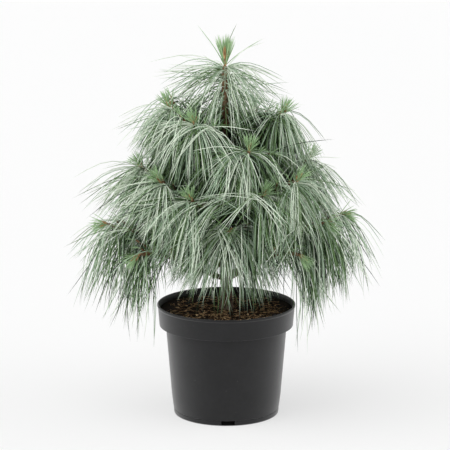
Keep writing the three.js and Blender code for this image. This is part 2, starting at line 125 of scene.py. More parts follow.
class Nodes:
    """The nodes of one finish, or of the light all round."""

    def __init__(self, tree):
        self.nodes = tree.nodes
        self.links = tree.links

    def put(self, socket, value):
        """Links a socket to a varying value, or sets it to a plain number or colour."""
        if isinstance(value, Value):
            self.links.new(value.socket, socket)
        elif socket.type == "RGBA":
            socket.default_value = (*value, 1)
        else:
            socket.default_value = value

    def node(self, kind, inputs=(), output=0, **settings):
        """One output of a new node, whose settings are made first and its inputs after them."""
        made = self.nodes.new(kind)
        for setting, value in settings.items():
            setattr(made, setting, value)
        pairs = inputs.items() if isinstance(inputs, dict) else enumerate(inputs)
        for socket, value in pairs:
            self.put(made.inputs[socket], value)
        return Value(self, made.outputs[output])


tent = bpy.data.worlds.new("white_tent")
tent.use_nodes = True
tent_nodes = Nodes(tent.node_tree)
tent_light = tent.node_tree.nodes["Background"].inputs
tent_nodes.put(tent_light["Color"], TENT_COLOUR)
way_out = tent_nodes.node("ShaderNodeTexCoord", output="Generated")
low_down = tent_nodes.node("ShaderNodeSeparateXYZ", [way_out], output="Z").rises(*TENT_FOOT_TOP)
tent_strength = TENT_STRENGTH + (TENT_FOOT_STRENGTH - TENT_STRENGTH) * low_down
tent_nodes.put(tent_light["Strength"], tent_strength)
bpy.context.scene.world = tent
for light in SOFT_LIGHTS:
    lamp_data = bpy.data.lights.new(light["name"], "SUN")
    lamp_data.energy = light["strength"]
    lamp_data.angle = math.radians(light["spread"])
    lamp = in_scene(light["name"], lamp_data)
    lamp.rotation_euler = Vector(light["from"]).to_track_quat("Z", "Y").to_euler()

# Floor
# A broad sheet of matt white acrylic under the pot, with no edge in sight, lit from below so that
# shadows on it stay faint. No light comes up where the pot stands on it, and there the sheet is
# painted near black, a painted shade that shows through the drain slots.
FLOOR_HALF = 30
FLOOR_COLOUR = (0.36, 0.36, 0.36)
UNDER_POT_PAINTED_SHADE = (0.02, 0.02, 0.02)
FLOOR_GLOW = 0.545
GLOW_EDGE = (0.083, 0.0864)


class Finish(Nodes):
    """One material. The shader's constants are given first, and what varies is fed in later."""

    def __init__(self, name, constants):
        self.material = bpy.data.materials.new(name)
        self.material.use_nodes = True
        super().__init__(self.material.node_tree)
        self.shader = self.nodes["Principled BSDF"]
        for socket, value in constants.items():
            self.feed(socket, value)

    def feed(self, socket, value):
        self.put(self.shader.inputs[socket], value)

    def place(self):
        return self.node("ShaderNodeTexCoord", output="Object")

    def height(self):
        return self.node("ShaderNodeSeparateXYZ", [self.place()], output="Z")

    def cloud(self, scale, detail=4, stretch=(1, 1, 1)):
        """Noise between 0 and 1 over the piece's own coordinates."""
        spot = self.node("ShaderNodeMapping", {"Vector": self.place(), "Scale": stretch})
        return self.node("ShaderNodeTexNoise", {"Vector": spot, "Scale": scale, "Detail": detail})

    def specks(self, scale, radius):
        """1 in small round spots, each in a cell of its own, and 0 between them."""
        cells = self.node("ShaderNodeTexVoronoi", {"Vector": self.place(), "Scale": scale})
        return cells.rises(radius, 0.6 * radius)

    def blend(self, share, low, high):
        """A colour between two colours, which are inputs 6 and 7 of its node, and output 2."""
        inputs = {"Factor": share, 6: low, 7: high}
        return self.node("ShaderNodeMix", inputs, output=2, data_type="RGBA")

    def emboss(self, height, distance):
        """Bumps the surface by a height between 0 and 1 times a distance in metres."""
        self.feed("Normal", self.node("ShaderNodeBump", {"Height": height, "Distance": distance}))


def meshed(name, points, faces):
    """A new object in the scene with a mesh of its own."""
    mesh = bpy.data.meshes.new(name)
    mesh.from_pydata(points, [], faces)
    return in_scene(name, mesh)


floor_corners = [(x * FLOOR_HALF, y * FLOOR_HALF, 0) for x, y in ((-1, -1), (1, -1), (1, 1), (-1, 1))]
floor = meshed("floor", floor_corners, [(0, 1, 2, 3)])
acrylic = Finish("white_acrylic", {"Roughness": 0.8})
from_pot = acrylic.node("ShaderNodeVectorMath", [acrylic.place()], "Value", operation="LENGTH")
clear_of_pot = from_pot.rises(*GLOW_EDGE)
# Under the pot the sheet's colour is painted near black, a painted shade.
acrylic.feed("Base Color", acrylic.blend(clear_of_pot, UNDER_POT_PAINTED_SHADE, FLOOR_COLOUR))
acrylic.feed("Emission Color", acrylic.blend(clear_of_pot, (0, 0, 0), (1, 1, 1)))
acrylic.feed("Emission Strength", FLOOR_GLOW)
floor.data.materials.append(acrylic.material)

# Pot
# A round nursery pot of thin charcoal plastic, moulded in one piece: a tapering body, a deeper
# band under the rim that stiffens it, and three drain slots cut out of its bottom edge.
pot_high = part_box("pot")[1]
POT_HEIGHT = pot_high.z
RIM_RADIUS = pot_high.x
BASE_RADIUS = 0.0855
BASE_ROUNDING = 0.002
FOOT_HEIGHT = 0.024
FOOT_RADIUS = 0.0886
FOOT_ROUNDING = 0.012
BODY_TOP_RADIUS = 0.0986
BAND_HEIGHT = 0.035
BAND_FOOT_RADIUS = 0.1088
BAND_FOOT = POT_HEIGHT - BAND_HEIGHT
LIP_HEIGHT = 0.0045
LIP_OUT = 0.0012
LIP_ROUNDING = 0.0008
RIM_ROUNDING = 0.0016
EDGE_ROUNDING = 0.0006
INNER_ROUNDING = 0.001
BAND_INNER_ROUNDING = 0.002
FLOOR_ROUNDING = 0.003
STEP_TAPER = 0.0001
BELOW_STEP = 0.0016
ABOVE_STEP = 0.0012
WALL = 0.0025
SEAM_HEIGHT = 0.0075
SEAM_WIDTH = 0.001
SEAM_STEP = 0.0004
SEAM_OUT = 0.0006
SEAM_TOP_OUT = 0.0007
SEAM_DEPTH = 0.0006
RECESS_RADIUS = 0.058
RECESS_DEPTH = 0.001
POT_SIDES = 192
SLOT_COUNT = 3
SLOT_WIDTH = 0.0222
SLOT_HEIGHT = 0.0082
SLOT_DEPTH = 0.012
SLOT_ROUNDING = 0.0012
FIRST_SLOT_TURN = -88
POT_CREASE = 38
WORN_EDGE = 0.0012
PLASTIC_DARK = (0.0022, 0.0022, 0.0028)
PLASTIC_WORN = (0.0065, 0.0065, 0.0075)
PLASTIC_DUST = (0.16, 0.155, 0.15)


def rounded(corners, steps=5):
    """The points of an outline of (radius, height, rounding) corners, with those rounded off."""
    points = []
    for i, (radius, height, rounding) in enumerate(corners):
        here = Vector((radius, height))
        if not rounding:
            points.append(here)
            continue
        start = here + rounding * (Vector(corners[i - 1][:2]) - here).normalized()
        end = here + rounding * (Vector(corners[i + 1][:2]) - here).normalized()
        for step in range(steps + 1):
            share = step / steps
            points.append(start.lerp(here, share).lerp(here.lerp(end, share), share))
    return points


def ring_faces(sides, last):
    """The faces that join rings of points to each other, to a first point, 0, and to a last."""
    faces = []
    for i in range(sides):
        j = (i + 1) % sides
        faces.append((0, 1 + j, 1 + i))
        for low in range(1, last - sides, sides):
            faces.append((low + i, low + j, low + sides + j, low + sides + i))
        faces.append((last - sides + i, last - sides + j, last))
    return faces


def turned(outline, sides):
    """Points and faces of an outline turned round the z axis. It starts and ends on the axis."""
    turns = [2 * math.pi * i / sides for i in range(sides)]
    points = [(0, 0, outline[0][1])]
    for radius, height in outline[1:-1]:
        points += [(radius * math.cos(turn), radius * math.sin(turn), height) for turn in turns]
    points.append((0, 0, outline[-1][1]))
    return points, ring_faces(sides, len(points) - 1)


def piece_of(name, points, faces, finish, slot, replaced, sharp_degrees=None):
    """A finished piece in the plant's one body. Sharp edges are kept where an angle is given."""
    made = meshed(name, points, faces)
    made.data.shade_smooth()
    if sharp_degrees:
        made.data.set_sharp_from_angle(angle=math.radians(sharp_degrees))
    made.data.materials.append(finish.material)
    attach(made, "root")
    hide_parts(*replaced)
    return made


def slot_cutter(turn):
    """A block as wide and high as a drain slot, with its upper corners a little rounded."""
    half = SLOT_WIDTH / 2
    section = rounded([(-half, -SLOT_HEIGHT, 0), (half, -SLOT_HEIGHT, 0),
                       (half, SLOT_HEIGHT, SLOT_ROUNDING), (-half, SLOT_HEIGHT, SLOT_ROUNDING),
                       (-half, -SLOT_HEIGHT, 0)])[:-1]
    count = len(section)
    depths = (BASE_RADIUS - SLOT_DEPTH, BASE_RADIUS + SLOT_DEPTH)
    points = [(depth, across, height) for depth in depths for across, height in section]
    faces = [tuple(range(count))[::-1], tuple(range(count, 2 * count))]
    for i in range(count):
        j = (i + 1) % count
        faces.append((i, j, count + j, count + i))
    cutter = meshed("slot_cutter", points, faces)
    cutter.rotation_euler.z = math.radians(turn)
    return cutter


# The sheen is that of a film of fine dust. The rim and some patches are worn a little paler, and
# specks of dust lie here and there.
plastic = Finish("charcoal_plastic", {
    "Specular IOR Level": 0.25, "Sheen Weight": 0.28, "Sheen Roughness": 0.5})
shade = plastic.cloud(28, 5) * 0.6 + plastic.cloud(160, 3) * 0.4
rim_wear = plastic.height().rises(POT_HEIGHT - WORN_EDGE, POT_HEIGHT)
dust = plastic.specks(130, 0.055) * plastic.cloud(22, 2).rises(0.5, 0.62)
body_colour = plastic.blend(shade.rises(0.3, 0.75) + rim_wear * 0.6, PLASTIC_DARK, PLASTIC_WORN)
plastic.feed("Base Color", plastic.blend(dust * 0.8, body_colour, PLASTIC_DUST))
plastic.feed("Roughness", 0.3 + 0.12 * plastic.cloud(45) + 0.3 * dust)
plastic.emboss(plastic.cloud(900, 2) * 0.6 + plastic.cloud(120, 3) * 0.4, 0.00012)

# Each corner is a radius, a height and how far it is rounded off, from the pot's underside over
# its rim to its floor.
pot_outline = rounded([
    (0, RECESS_DEPTH, 0),
    (RECESS_RADIUS, RECESS_DEPTH, EDGE_ROUNDING),
    (RECESS_RADIUS + RECESS_DEPTH, 0, EDGE_ROUNDING),
    (BASE_RADIUS, 0, BASE_ROUNDING),
    (BASE_RADIUS + SEAM_OUT, SEAM_HEIGHT, 0),
    (BASE_RADIUS + SEAM_OUT - SEAM_DEPTH, SEAM_HEIGHT + SEAM_STEP, 0),
    (BASE_RADIUS + SEAM_TOP_OUT, SEAM_HEIGHT + SEAM_WIDTH, 0),
    (FOOT_RADIUS, FOOT_HEIGHT, FOOT_ROUNDING),
    (BODY_TOP_RADIUS - STEP_TAPER, BAND_FOOT - BELOW_STEP, 0),
    (BODY_TOP_RADIUS, BAND_FOOT, EDGE_ROUNDING),
    (BAND_FOOT_RADIUS, BAND_FOOT, EDGE_ROUNDING),
    (BAND_FOOT_RADIUS + STEP_TAPER, BAND_FOOT + ABOVE_STEP, 0),
    (RIM_RADIUS - LIP_OUT, POT_HEIGHT - LIP_HEIGHT, LIP_ROUNDING),
    (RIM_RADIUS, POT_HEIGHT - LIP_HEIGHT + LIP_OUT, LIP_ROUNDING),
    (RIM_RADIUS, POT_HEIGHT, RIM_ROUNDING),
    (RIM_RADIUS - WALL, POT_HEIGHT, LIP_ROUNDING),
    (RIM_RADIUS - WALL - LIP_OUT, POT_HEIGHT - LIP_HEIGHT, INNER_ROUNDING),
    (BAND_FOOT_RADIUS - WALL, BAND_FOOT + WALL, BAND_INNER_ROUNDING),
    (BODY_TOP_RADIUS - WALL, BAND_FOOT, INNER_ROUNDING),
    (BASE_RADIUS - WALL, WALL, FLOOR_ROUNDING),
    (0, WALL, 0),
])
pot = piece_of("nursery_pot", *turned(pot_outline, POT_SIDES), plastic, "pot_plastic", ["pot"])
for i in range(SLOT_COUNT):
    cutter = slot_cutter(FIRST_SLOT_TURN + 360 * i / SLOT_COUNT)
    cut = pot.modifiers.new("drain_slot", "BOOLEAN")
    cut.object = cutter
    bpy.context.view_layer.objects.active = pot
    bpy.ops.object.modifier_apply(modifier=cut.name)
    bpy.data.objects.remove(cutter)
pot.data.set_sharp_from_angle(angle=math.radians(POT_CREASE))

# Soil
# Dark potting mix pressed down a little under the rim: fine humus crumbs, with flakes of composted
# bark and strands of coir strewn over them in patches, more of them towards the front. Low in the
# pot, where it shows through the drain slots, the mix is painted near black, a painted shade.
SOIL_LEVEL = 0.173
SOIL_MOUND = 0.0012
SOIL_EDGE_DROP = 0.0035
SOIL_EDGE_POWER = 6
BAND_SPREAD = 0.0014
SOIL_RADIUS = BAND_FOOT_RADIUS - WALL + BAND_SPREAD
SKIRT_LIFT = 0.0003
SKIRT_FOOT_IN = 0.005
SKIRT_FOOT_ROUNDING = 0.002
SKIRT_IN = 0.0007
SOIL_RINGS = 84
SOIL_SIDES = 320
CRUMBS = [(90, 0.0012), (260, 0.0011), (620, 0.0008)]
HUMUS_DARK = (0.006, 0.0038, 0.0026)
HUMUS_BROWN = (0.032, 0.018, 0.0095)
HUMUS_PAINTED_SHADE = (0.002, 0.0014, 0.001)
PAINTED_SHADE_HEIGHT = (0.04, 0.02)
CHIPS = [
    {"name": "humus_crumbs", "count": 2000, "size": (0.001, 0.0028), "dark": (0.008, 0.005, 0.0035),
     "light": (0.045, 0.025, 0.013)},
    {"name": "bark_chips", "count": 560, "size": (0.0013, 0.0042), "dark": (0.03, 0.017, 0.009),
     "light": (0.13, 0.072, 0.035)},
    {"name": "pale_chips", "count": 300, "size": (0.001, 0.0034), "dark": (0.34, 0.2, 0.1),
     "light": (0.85, 0.62, 0.37)},
]
CHIP_SHAPE = np.array([1.45, 0.5, 0.32])
CHIP_VARIES = (0.7, 1.3)
CHIP_KNOBS = (0.72, 1.2)
CHIP_TILT = 0.5
CHIP_LIFT = 0.3
CHIP_CREASE = 30
STREWN_BAND = (0.025, 0.95)
STREWN_SHARE = 0.42
STREWN_FRONT = 0.3
STREWN_PATCHES = 0.8
PATCH_SCALE = 48
STRAND_COUNT = 480
STRAND_LENGTH = (0.006, 0.016)
STRAND_RADIUS = 0.00045
STRAND_TAPER = 0.5
STRAND_STEPS = 5
STRAND_BEND = 0.9
STRAND_ARCH = 0.0012
STRAND_CLEAR = 0.0004
STRAND_RANGE = 0.97
STRAND_DARK = (0.22, 0.125, 0.055)
STRAND_LIGHT = (0.7, 0.48, 0.26)
SOIL_SEED = 51


def soil_height(x, y):
    """The crumbled surface of the mix, a little raised round the trunk and low at the wall."""
    out = math.hypot(x, y) / SOIL_RADIUS
    crumbs = sum(depth * noise.noise(Vector((x, y, 0)) * scale) for scale, depth in CRUMBS)
    return SOIL_LEVEL + SOIL_MOUND * (1 - out) - SOIL_EDGE_DROP * out**SOIL_EDGE_POWER + crumbs


def crumbly(name, dark, light):
    """The finish of any bit of the mix: matt, earthy and uneven in colour, with painted shade low
    down.
    """
    made = Finish(name, {"Roughness": 0.95, "Specular IOR Level": 0.2})
    tone = made.cloud(150, 3) * 0.5 + made.cloud(900, 3) * 0.5
    unshaded = made.blend(tone.rises(0.36, 0.64), dark, light)
    # Low in the pot the colour turns near black, a painted shade seen through the drain slots.
    made.feed("Base Color", made.blend(made.height().rises(*PAINTED_SHADE_HEIGHT), unshaded, HUMUS_PAINTED_SHADE))
    made.emboss(made.cloud(1400), 0.0005)
    return made


soil_skirt = rounded([
    (0, WALL + SKIRT_LIFT, 0),
    (BASE_RADIUS - WALL - SKIRT_FOOT_IN, WALL + SKIRT_LIFT, SKIRT_FOOT_ROUNDING),
    (BODY_TOP_RADIUS - WALL - SKIRT_IN, BAND_FOOT, INNER_ROUNDING),
    (BAND_FOOT_RADIUS - WALL - SKIRT_IN, BAND_FOOT + WALL, 0),
])
soil_top = [Vector((SOIL_RADIUS * (1 - i / SOIL_RINGS), SOIL_LEVEL)) for i in range(SOIL_RINGS + 1)]
soil_points, soil_faces = turned(soil_skirt + soil_top, SOIL_SIDES)
for i, (x, y, z) in enumerate(soil_points):
    if z == SOIL_LEVEL:
        soil_points[i] = (x, y, soil_height(x, y))
mix = crumbly("potting_mix", HUMUS_DARK, HUMUS_BROWN)
piece_of("potting_mix", soil_points, soil_faces, mix, "soil", ["soil"])

# The corners of an icosahedron, set one long from its middle
GOLDEN_RATIO = 1.618
CORNER_REACH = 1.902
ICOSAHEDRON = [(0, a, b * GOLDEN_RATIO) for a in (-1, 1) for b in (-1, 1)]
ICOSAHEDRON = np.array([p[i:] + p[:i] for i in range(3) for p in ICOSAHEDRON]) / CORNER_REACH
EDGE_SLACK = 1.01
soil_dice = np.random.default_rng(SOIL_SEED)


def hull_faces(points):
    """The twenty triangles of an icosahedron's corners, with their normals outward."""
    edge = min(np.linalg.norm(points[0] - p) for p in points[1:]) * EDGE_SLACK
    near = [[np.linalg.norm(p - q) < edge for q in points] for p in points]
    corners = range(len(points))
    faces = [(a, b, c) for a in corners for b in corners for c in corners
             if a < b < c and near[a][b] and near[b][c] and near[a][c]]
    outward = [np.dot(np.cross(points[b] - points[a], points[c] - points[a]), points[a]) > 0
               for a, b, c in faces]
    return np.array([(a, b, c) if out else (a, c, b) for (a, b, c), out in zip(faces, outward)])


def strewn(count):
    """Places on the mix, clear of the wall and the trunk, in patches and more to the front."""
    out = SOIL_RADIUS * np.sqrt(soil_dice.uniform(*STREWN_BAND, 3 * count))
    turn = soil_dice.uniform(0, 2 * np.pi, 3 * count)
    x, y = out * np.cos(turn), out * np.sin(turn)
    patches = np.array([noise.noise(Vector((a, b, 0)) * PATCH_SCALE) for a, b in zip(x, y)])
    chance = STREWN_SHARE - STREWN_FRONT * y / SOIL_RADIUS + STREWN_PATCHES * patches
    chosen = soil_dice.uniform(0, 1, 3 * count) < chance
    return [(a, b) for a, b in zip(x[chosen], y[chosen])][:count]


def turn_about(axis, turn):
    """The matrix that turns a row vector about a unit axis."""
    x, y, z = axis
    cross = np.array([[0, z, -y], [-z, 0, x], [y, -x, 0]])
    return np.eye(3) + math.sin(turn) * cross + (1 - math.cos(turn)) * cross @ cross


chip_faces = hull_faces(ICOSAHEDRON)
for kind in CHIPS:
    points, faces = [], []
    for x, y in strewn(kind["count"]):
        size = soil_dice.uniform(*kind["size"]) * CHIP_SHAPE * soil_dice.uniform(*CHIP_VARIES, 3)
        chip = ICOSAHEDRON * soil_dice.uniform(*CHIP_KNOBS, (len(ICOSAHEDRON), 1)) * size
        chip = chip @ turn_about((1, 0, 0), soil_dice.normal(0, CHIP_TILT))
        chip = chip @ turn_about((0, 0, 1), soil_dice.uniform(0, 2 * np.pi))
        chip = chip + (x, y, soil_height(x, y) + CHIP_LIFT * size[2])
        faces.append(chip_faces + len(ICOSAHEDRON) * len(points))
        points.append(chip)
    finish = crumbly(kind["name"], kind["dark"], kind["light"])
    mesh = np.concatenate(points), np.concatenate(faces)
    piece_of(kind["name"], *mesh, finish, "soil", ["soil"], CHIP_CREASE)

strand_points, strand_faces = [], []
for x, y in strewn(STRAND_COUNT):
    length = soil_dice.uniform(*STRAND_LENGTH)
    way = soil_dice.uniform(0, 2 * np.pi)
    bend = soil_dice.normal(0, STRAND_BEND)
    first = len(strand_points)
    for ring in range(STRAND_STEPS + 1):
        share = ring / STRAND_STEPS
        facing = way + bend * share
        x += length / STRAND_STEPS * math.cos(facing)
        y += length / STRAND_STEPS * math.sin(facing)
        shift = min(1, STRAND_RANGE * SOIL_RADIUS / math.hypot(x, y))
        lift = STRAND_ARCH * math.sin(math.pi * share) + STRAND_CLEAR
        centre = Vector((x * shift, y * shift, soil_height(x * shift, y * shift) + lift))
        side = Vector((-math.sin(facing), math.cos(facing), 0))
        radius = STRAND_RADIUS * (1 - STRAND_TAPER * abs(2 * share - 1))
        for corner in range(3):
            angle = 2 * math.pi * corner / 3
            spoke = math.cos(angle) * side + math.sin(angle) * Vector((0, 0, 1))
            strand_points.append(centre + radius * spoke)
    end = 3 * STRAND_STEPS
    faces = [(0, 1, 2), (end + 2, end + 1, end)]
    for low in range(0, end, 3):
        for i in range(3):
            j = (i + 1) % 3
            faces += [(low + i, low + 3 + i, low + 3 + j), (low + i, low + 3 + j, low + j)]
    strand_faces.append(np.array(faces) + first)
coir = crumbly("coir", STRAND_DARK, STRAND_LIGHT)
piece_of("coir_strands", strand_points, np.concatenate(strand_faces), coir, "soil", ["soil"])

# Trunk
# One slender brown stem, leaning a little, from a flared foot in the soil up through the whorls of
# boughs to the leader shoot. It is swollen at each whorl, and its bark is cracked lengthways.
TRUNK_FOOT = 0.1733
TRUNK_TOP = 0.47
TRUNK_FOOT_RADIUS = 0.0084
TRUNK_TOP_RADIUS = 0.0043
FLARE = 0.0038
FLARE_FADE = 18
TRUNK_LEAN = -0.002
TRUNK_SWAY = 0.0014
SWAY_BENDS = 3
SWAY_BACK = 0.6
TRUNK_SUNK = 0.003
TRUNK_SIDES = 36
TRUNK_RINGS = 240
WHORL_FEET = {"lowest": 0.222, "lower": 0.258, "middle": 0.318, "top": 0.424}
COLLAR = 0.0011
COLLAR_RISE = 0.009
COLLAR_REACH = 0.011
CRACK_DEPTH = 0.0007
CRACK_LEVEL = 0.3
CRACK_SCALE = 420
CRACK_STRETCH = 0.3
CRACK_GIRTH = 0.006
BARK_DARK = (0.03, 0.018, 0.012)
BARK_BROWN = (0.12, 0.068, 0.038)
BARK_GREY = (0.2, 0.165, 0.13)
UP = np.array([0.0, 0.0, 1.0])


def unit(vectors):
    """Each row of an array made one long."""
    return vectors / np.maximum(np.linalg.norm(vectors, axis=-1, keepdims=True), 1e-12)


def trunk_share(height):
    """How far up the trunk a height is, from 0 at its foot to 1 at its top."""
    return (height - TRUNK_FOOT) / (TRUNK_TOP - TRUNK_FOOT)


def trunk_at(height):
    """The middle of the trunk at a height."""
    share = trunk_share(height)
    sway = TRUNK_SWAY * math.sin(SWAY_BENDS * math.pi * share)
    return np.array([TRUNK_LEAN * share + sway, SWAY_BACK * sway, height])


def trunk_radius(height):
    """The trunk's radius at a height: its taper, its flared foot and the swelling at each whorl."""
    share = trunk_share(height)
    taper = TRUNK_FOOT_RADIUS + (TRUNK_TOP_RADIUS - TRUNK_FOOT_RADIUS) * share
    rises = [(height - foot - COLLAR_RISE) / COLLAR_REACH for foot in WHORL_FEET.values()]
    collars = COLLAR * sum(math.exp(-rise * rise) for rise in rises)
    return taper + FLARE * math.exp(-FLARE_FADE * max(share, 0)) + collars


def across_limb(line):
    """The direction along a limb at each point of its line, and two across it, one of them upper."""
    along = unit(np.gradient(line, axis=0))
    guide = np.array([0.0, 1.0, 0.0]) if along[len(along) // 2][2] > 0.9 else UP
    across = unit(np.cross(along, guide))
    return along, across, np.cross(across, along)


def distances_along(line):
    """How far along a line each of its points lies."""
    steps = np.linalg.norm(np.diff(line, axis=0), axis=1)
    return np.concatenate([[0], np.cumsum(steps)])


def limb(line, radii, sides, relief):
    """Points and faces of a round limb along a line, raised by relief(turn, distance along it)."""
    across, over = across_limb(line)[1:]
    distances = distances_along(line)
    turns = 2 * np.pi * np.arange(sides) / sides
    points = []
    for i, middle in enumerate(line):
        for turn in turns:
            radius = radii[i] + relief(turn, distances[i])
            points.append(middle + radius * (math.cos(turn) * across[i] + math.sin(turn) * over[i]))
    last_ring = len(points) - sides
    foot, tip = len(points), len(points) + 1
    points += [line[0], line[-1]]
    faces = []
    for i in range(sides):
        j = (i + 1) % sides
        faces.append((foot, i, j))
        faces.append((tip, last_ring + j, last_ring + i))
        for low in range(0, last_ring, sides):
            faces.append((low + i, low + sides + i, low + sides + j, low + j))
    return points, faces


def cracks(turn, along, girth=CRACK_GIRTH):
    """Bark cracked lengthways: the height of its surface at a turn and a distance along a limb."""
    place = Vector((girth * math.cos(turn), girth * math.sin(turn), CRACK_STRETCH * along))
    return CRACK_DEPTH * (CRACK_LEVEL - abs(noise.noise(place * CRACK_SCALE)))


def bark(name, dark, light, worn, worn_share):
    """Bark, darker in its cracks, with some of its scales worn pale."""
    made = Finish(name, {"Specular IOR Level": 0.3})
    scales = made.cloud(300, 4, (1, 1, 0.4))
    patches = made.cloud(70, 3)
    base = made.blend(scales.rises(0.36, 0.6), dark, light)
    made.feed("Base Color", made.blend(patches.rises(0.45, 0.68) * worn_share, base, worn))
    made.feed("Roughness", 0.95 - 0.25 * patches)
    made.emboss(scales * 0.7 + made.cloud(1300, 2) * 0.3, 0.0006)
    return made


trunk_heights = np.linspace(TRUNK_FOOT - TRUNK_SUNK, TRUNK_TOP, TRUNK_RINGS)
trunk_line = np.array([trunk_at(height) for height in trunk_heights])
trunk_radii = [trunk_radius(height) for height in trunk_heights]
trunk_bark = bark("trunk_bark", BARK_DARK, BARK_BROWN, BARK_GREY, 0.6)
trunk_mesh = limb(trunk_line, trunk_radii, TRUNK_SIDES, cracks)
piece_of("pine_trunk", *trunk_mesh, trunk_bark, "bark", ["trunk"])

# Boughs
# Tapering limbs that leave the trunk in whorls, one for each year's growth, bow outward and turn
# up at their ends. Their bark is younger and browner than the trunk's and only finely cracked.
WHORLS = {
    # For each whorl: its needles' length, how strongly they bend down at a shoot's foot and tip,
    # the steepest that they climb, how far they spread and how pale they are, how far the buds
    # turn up, how steeply the boughs end, how much of a shoot is bare and how full the rest is.
    # For each bough: its side, its turn from the right, its reach and its shoot's height.
    "top": {
        "needle": 0.119, "hang": (6.5, 4.5), "rise": 26, "splay": 0.12, "bloom_and_painted_light": 0.37,
        "perk": 0.35, "climb": 62, "bare": 0, "full": 1, "boughs": [
        ("right", 3, 0.091, 0.494), ("back_right", 62, 0.088, 0.486),
        ("back_left", 122, 0.092, 0.48), ("left", 180, 0.091, 0.504),
        ("front_left", 231, 0.08, 0.488), ("front_right", 292, 0.095, 0.45)]},
    "middle": {
        "needle": 0.131, "hang": (5.4, 3.3), "rise": 20, "splay": 0.125, "bloom_and_painted_light": 0.34,
        "perk": 0.35, "climb": 44, "bare": 0.1, "full": 1, "boughs": [
        ("right", 18, 0.138, 0.413), ("back_right", 66, 0.134, 0.398),
        ("back_left", 118, 0.138, 0.404), ("left", 173, 0.137, 0.404),
        ("left_front", 216, 0.128, 0.398), ("front", 244, 0.123, 0.376),
        ("front_right", 300, 0.116, 0.382), ("right_front", 325, 0.136, 0.4)]},
    "lower": {
        "needle": 0.139, "hang": (5.8, 3.9), "rise": 13, "splay": 0.17, "bloom_and_painted_light": 0.23,
        "perk": -0.35, "climb": 22, "bare": 0.15, "full": 0.44, "boughs": [
        ("right", 3, 0.186, 0.328), ("back_right", 56, 0.176, 0.322),
        ("back_left", 120, 0.178, 0.326), ("left", 186, 0.192, 0.318),
        ("front", 273, 0.095, 0.324), ("right_front", 342, 0.166, 0.326)]},
    "lowest": {
        "needle": 0.148, "hang": (6.8, 4.8), "rise": 0.5, "splay": 0.2, "bloom_and_painted_light": 0.18,
        "perk": -0.4, "climb": -6, "bare": 0.5, "full": 0.26, "boughs": [
        ("right", 28, 0.168, 0.286), ("back", 88, 0.166, 0.284),
        ("left", 152, 0.172, 0.288), ("left_front", 216, 0.171, 0.285),
        ("right_front", 318, 0.156, 0.286)]},
}
FOOT_STEP = 0.009
FOOT_CLIMB = 20
FOOT_PULL = 0.42
TIP_PULL = 0.3
BOUGH_TIP_RADIUS = 0.0023
BOUGH_TAPER = 0.013
BOUGH_SIDES = 14
BOUGH_GIRTH = 0.003
BOUGH_CRACKS = 0.5
BOUGH_POINTS = 200
RING_GAP = 0.0016
SHOOT_LENGTH = 0.078
SHOOT_SHARE = 0.52
BOUGH_DARK = (0.045, 0.024, 0.014)
BOUGH_BROWN = (0.16, 0.086, 0.042)
BOUGH_GREY = (0.22, 0.17, 0.125)


def heading(turn, climb=0):
    """The direction turned so many degrees from +x about the z axis, climbing out of the level."""
    turn, climb = math.radians(turn), math.radians(climb)
    level = math.cos(climb)
    return np.array([level * math.cos(turn), level * math.sin(turn), math.sin(climb)])


def evenly(line, gap):
    """A line's points again, set an even gap apart."""
    distances = distances_along(line)
    places = np.linspace(0, distances[-1], max(int(distances[-1] / gap), 2) + 1)
    return np.stack([np.interp(places, distances, line[:, axis]) for axis in range(3)], axis=1)


def bough_line(whorl, index, turn, reach, height):
    """The middle of a bough and of its leafy shoot, from the trunk's middle to the shoot's tip."""
    foot = trunk_at(WHORL_FEET[whorl] + FOOT_STEP * (index % 3))
    tip = reach * heading(turn) + height * UP
    first = foot + FOOT_PULL * reach * heading(turn, FOOT_CLIMB)
    last = tip - TIP_PULL * reach * heading(turn, WHORLS[whorl]["climb"])
    share = np.linspace(0, 1, BOUGH_POINTS)[:, None]
    rest = 1 - share
    line = rest**3 * foot + 3 * rest**2 * share * first + 3 * rest * share**2 * last + share**3 * tip
    return evenly(line, RING_GAP)


def fine_cracks(turn, along):
    """The shallower cracks of a bough."""
    return BOUGH_CRACKS * cracks(turn, along, BOUGH_GIRTH)


def joined(meshes):
    """Several meshes, each its points and faces, as one."""
    points, faces = [], []
    for more_points, more_faces in meshes:
        first = len(points)
        points.extend(more_points)
        faces.extend(tuple(first + corner for corner in face) for face in more_faces)
    return points, faces


shoots = []
limb_middles = list(trunk_line)
limb_widths = list(trunk_radii)
bough_bark = bark("bough_bark", BOUGH_DARK, BOUGH_BROWN, BOUGH_GREY, 0.5)
for whorl, growth in WHORLS.items():
    meshes, names = [], []
    for index, (side, turn, reach, height) in enumerate(growth["boughs"]):
        line = bough_line(whorl, index, turn, reach, height)
        length = RING_GAP * len(line)
        end = int(len(line) * (1 - min(SHOOT_LENGTH / length, SHOOT_SHARE)))
        foot_radius = BOUGH_TIP_RADIUS + BOUGH_TAPER * reach
        radii = np.linspace(foot_radius, BOUGH_TIP_RADIUS, end)
        meshes.append(limb(line[:end], radii, BOUGH_SIDES, fine_cracks))
        names.append(f"{whorl}_bough_{side}")
        limb_middles.extend(line[:end])
        limb_widths.extend(radii)
        mass = f"{whorl}_needles_{side}"
        shoots.append({**growth, "mass": mass, "kind": "bough", "line": line[end - 2:]})
    piece_of(f"{whorl}_boughs", *joined(meshes), bough_bark, "bark", names)

